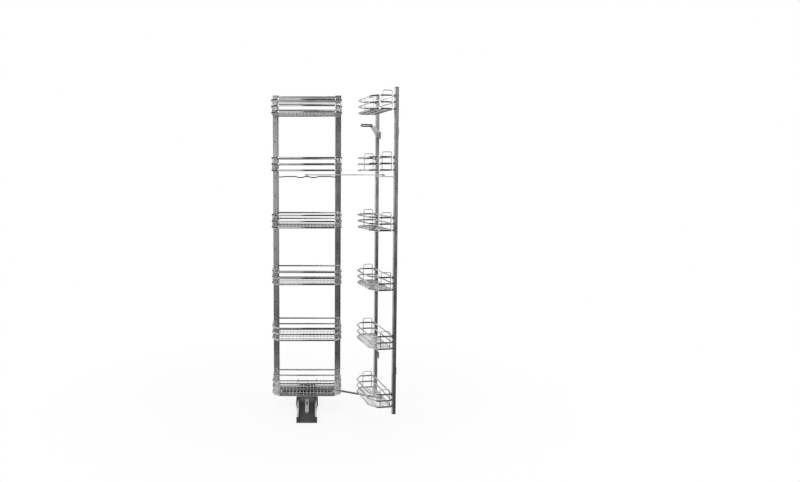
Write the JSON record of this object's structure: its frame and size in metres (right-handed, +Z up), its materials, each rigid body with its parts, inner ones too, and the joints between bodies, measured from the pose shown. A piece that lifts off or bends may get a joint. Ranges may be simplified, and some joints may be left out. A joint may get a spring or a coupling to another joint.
{
  "type": "pull out pantry frame",
  "caption": "Tall pull-out cabinet unit: a sliding frame and a hinged door frame, joined by links, each carrying wire baskets with cut front corners.",
  "frame": {"origin": "middle of the floor plate's underside, on the cabinet floor", "axes": "+X to the right across the cabinet, +Y into the cabinet, +Z up; stored open"},
  "size_m": [0.6886, 0.9364, 1.8501],
  "materials": {
    "chrome_wire": "polished",
    "satin_steel": "satin",
    "bright_steel": "polished",
    "zinc_plate": "zinc plated",
    "dark_paint": "satin",
    "black_plastic": "matte",
    "pale_plastic": "matte"
  },
  "bodies": {
    "floor_rail": {"floor_plate": "zinc_plate", "striker_arm": "zinc_plate", "slide_outer_left": "zinc_plate", "slide_outer_right": "zinc_plate"},
    "slide_middle": {"slide_middle_left": "zinc_plate", "slide_middle_right": "zinc_plate", "ball_cages": "zinc_plate"},
    "inner_frame": {"runner_tray": "dark_paint", "slide_inner_left": "zinc_plate", "slide_inner_right": "zinc_plate", "tray_end_caps": "black_plastic", "damper_housing": "pale_plastic", "foot_beam": "satin_steel", "upright_left": "satin_steel", "upright_right": "satin_steel", "upright_caps": "black_plastic", "top_beam": "satin_steel", "link_beam": "satin_steel", "beam_screws": "bright_steel", "frame_basket_1_rails": "chrome_wire", "frame_basket_1_floor": "chrome_wire", "frame_basket_2_rails": "chrome_wire", "frame_basket_2_floor": "chrome_wire", "frame_basket_3_rails": "chrome_wire", "frame_basket_3_floor": "chrome_wire", "frame_basket_4_rails": "chrome_wire", "frame_basket_4_floor": "chrome_wire", "frame_basket_5_rails": "chrome_wire", "frame_basket_5_floor": "chrome_wire", "frame_basket_6_rails": "chrome_wire", "frame_basket_6_floor": "chrome_wire"},
    "damper_catch": {"damper_catch": "pale_plastic"},
    "door_frame": {"door_upright_hinge_side": "satin_steel", "door_upright_free_side": "satin_steel", "door_upright_caps": "black_plastic", "upper_door_bar": "satin_steel", "lower_door_bar": "satin_steel", "door_fixing_brackets": "satin_steel", "upper_door_pin": "bright_steel", "lower_door_pin": "bright_steel", "catch_bracket": "satin_steel", "catch_bolt": "bright_steel", "door_basket_1_rails": "chrome_wire", "door_basket_1_floor": "chrome_wire", "door_basket_2_rails": "chrome_wire", "door_basket_2_floor": "chrome_wire", "door_basket_3_rails": "chrome_wire", "door_basket_3_floor": "chrome_wire", "door_basket_4_rails": "chrome_wire", "door_basket_4_floor": "chrome_wire", "door_basket_5_rails": "chrome_wire", "door_basket_5_floor": "chrome_wire", "door_basket_6_rails": "chrome_wire", "door_basket_6_floor": "chrome_wire"},
    "catch_arm": {"catch_arm": "satin_steel"},
    "upper_link": {"upper_link": "satin_steel", "upper_frame_pin": "bright_steel"},
    "lower_link": {"lower_link": "satin_steel", "lower_frame_pin": "bright_steel"}
  },
  "joints": [
    {"name": "door_frame_swing", "type": "hinge", "parent": "floor_rail", "child": "door_frame", "pos_m": [0.30688, -0.17899, 0], "axis": [0, 0, 1], "range_deg": [-100, 0]},
    {"name": "inner_frame_slide", "type": "slide", "parent": "floor_rail", "child": "inner_frame", "axis": [0, 1, 0], "range_m": [0, 0.38]},
    {"name": "slide_middle_slide", "type": "slide", "parent": "floor_rail", "child": "slide_middle", "axis": [0, 1, 0], "range_m": [0, 0.19]},
    {"name": "upper_link_swing", "type": "hinge", "parent": "door_frame", "child": "upper_link", "pos_m": [0.42844, -0.40825, 1.384], "axis": [0, 0, 1], "range_deg": [0, 49.56]},
    {"name": "lower_link_swing", "type": "hinge", "parent": "door_frame", "child": "lower_link", "pos_m": [0.42844, -0.40825, 0.101], "axis": [0, 0, 1], "range_deg": [0, 49.56]},
    {"name": "damper_catch_slide", "type": "slide", "parent": "inner_frame", "child": "damper_catch", "axis": [0, -1, 0], "range_m": [0, 0.06]},
    {"name": "catch_arm_lift", "type": "hinge", "parent": "door_frame", "child": "catch_arm", "pos_m": [0.37211, -0.30181, 1.665], "axis": [-0.1736, 0.9848, 0], "range_deg": [0, 60]}
  ],
  "couplings": [
    {"joint": "inner_frame_slide", "follows": "door_frame_swing", "m_per_rad": -0.21772},
    {"joint": "slide_middle_slide", "follows": "door_frame_swing", "m_per_rad": -0.10886},
    {"joint": "upper_link_swing", "follows": "door_frame_swing", "ratio": -0.49553},
    {"joint": "lower_link_swing", "follows": "door_frame_swing", "ratio": -0.49553}
  ]
}
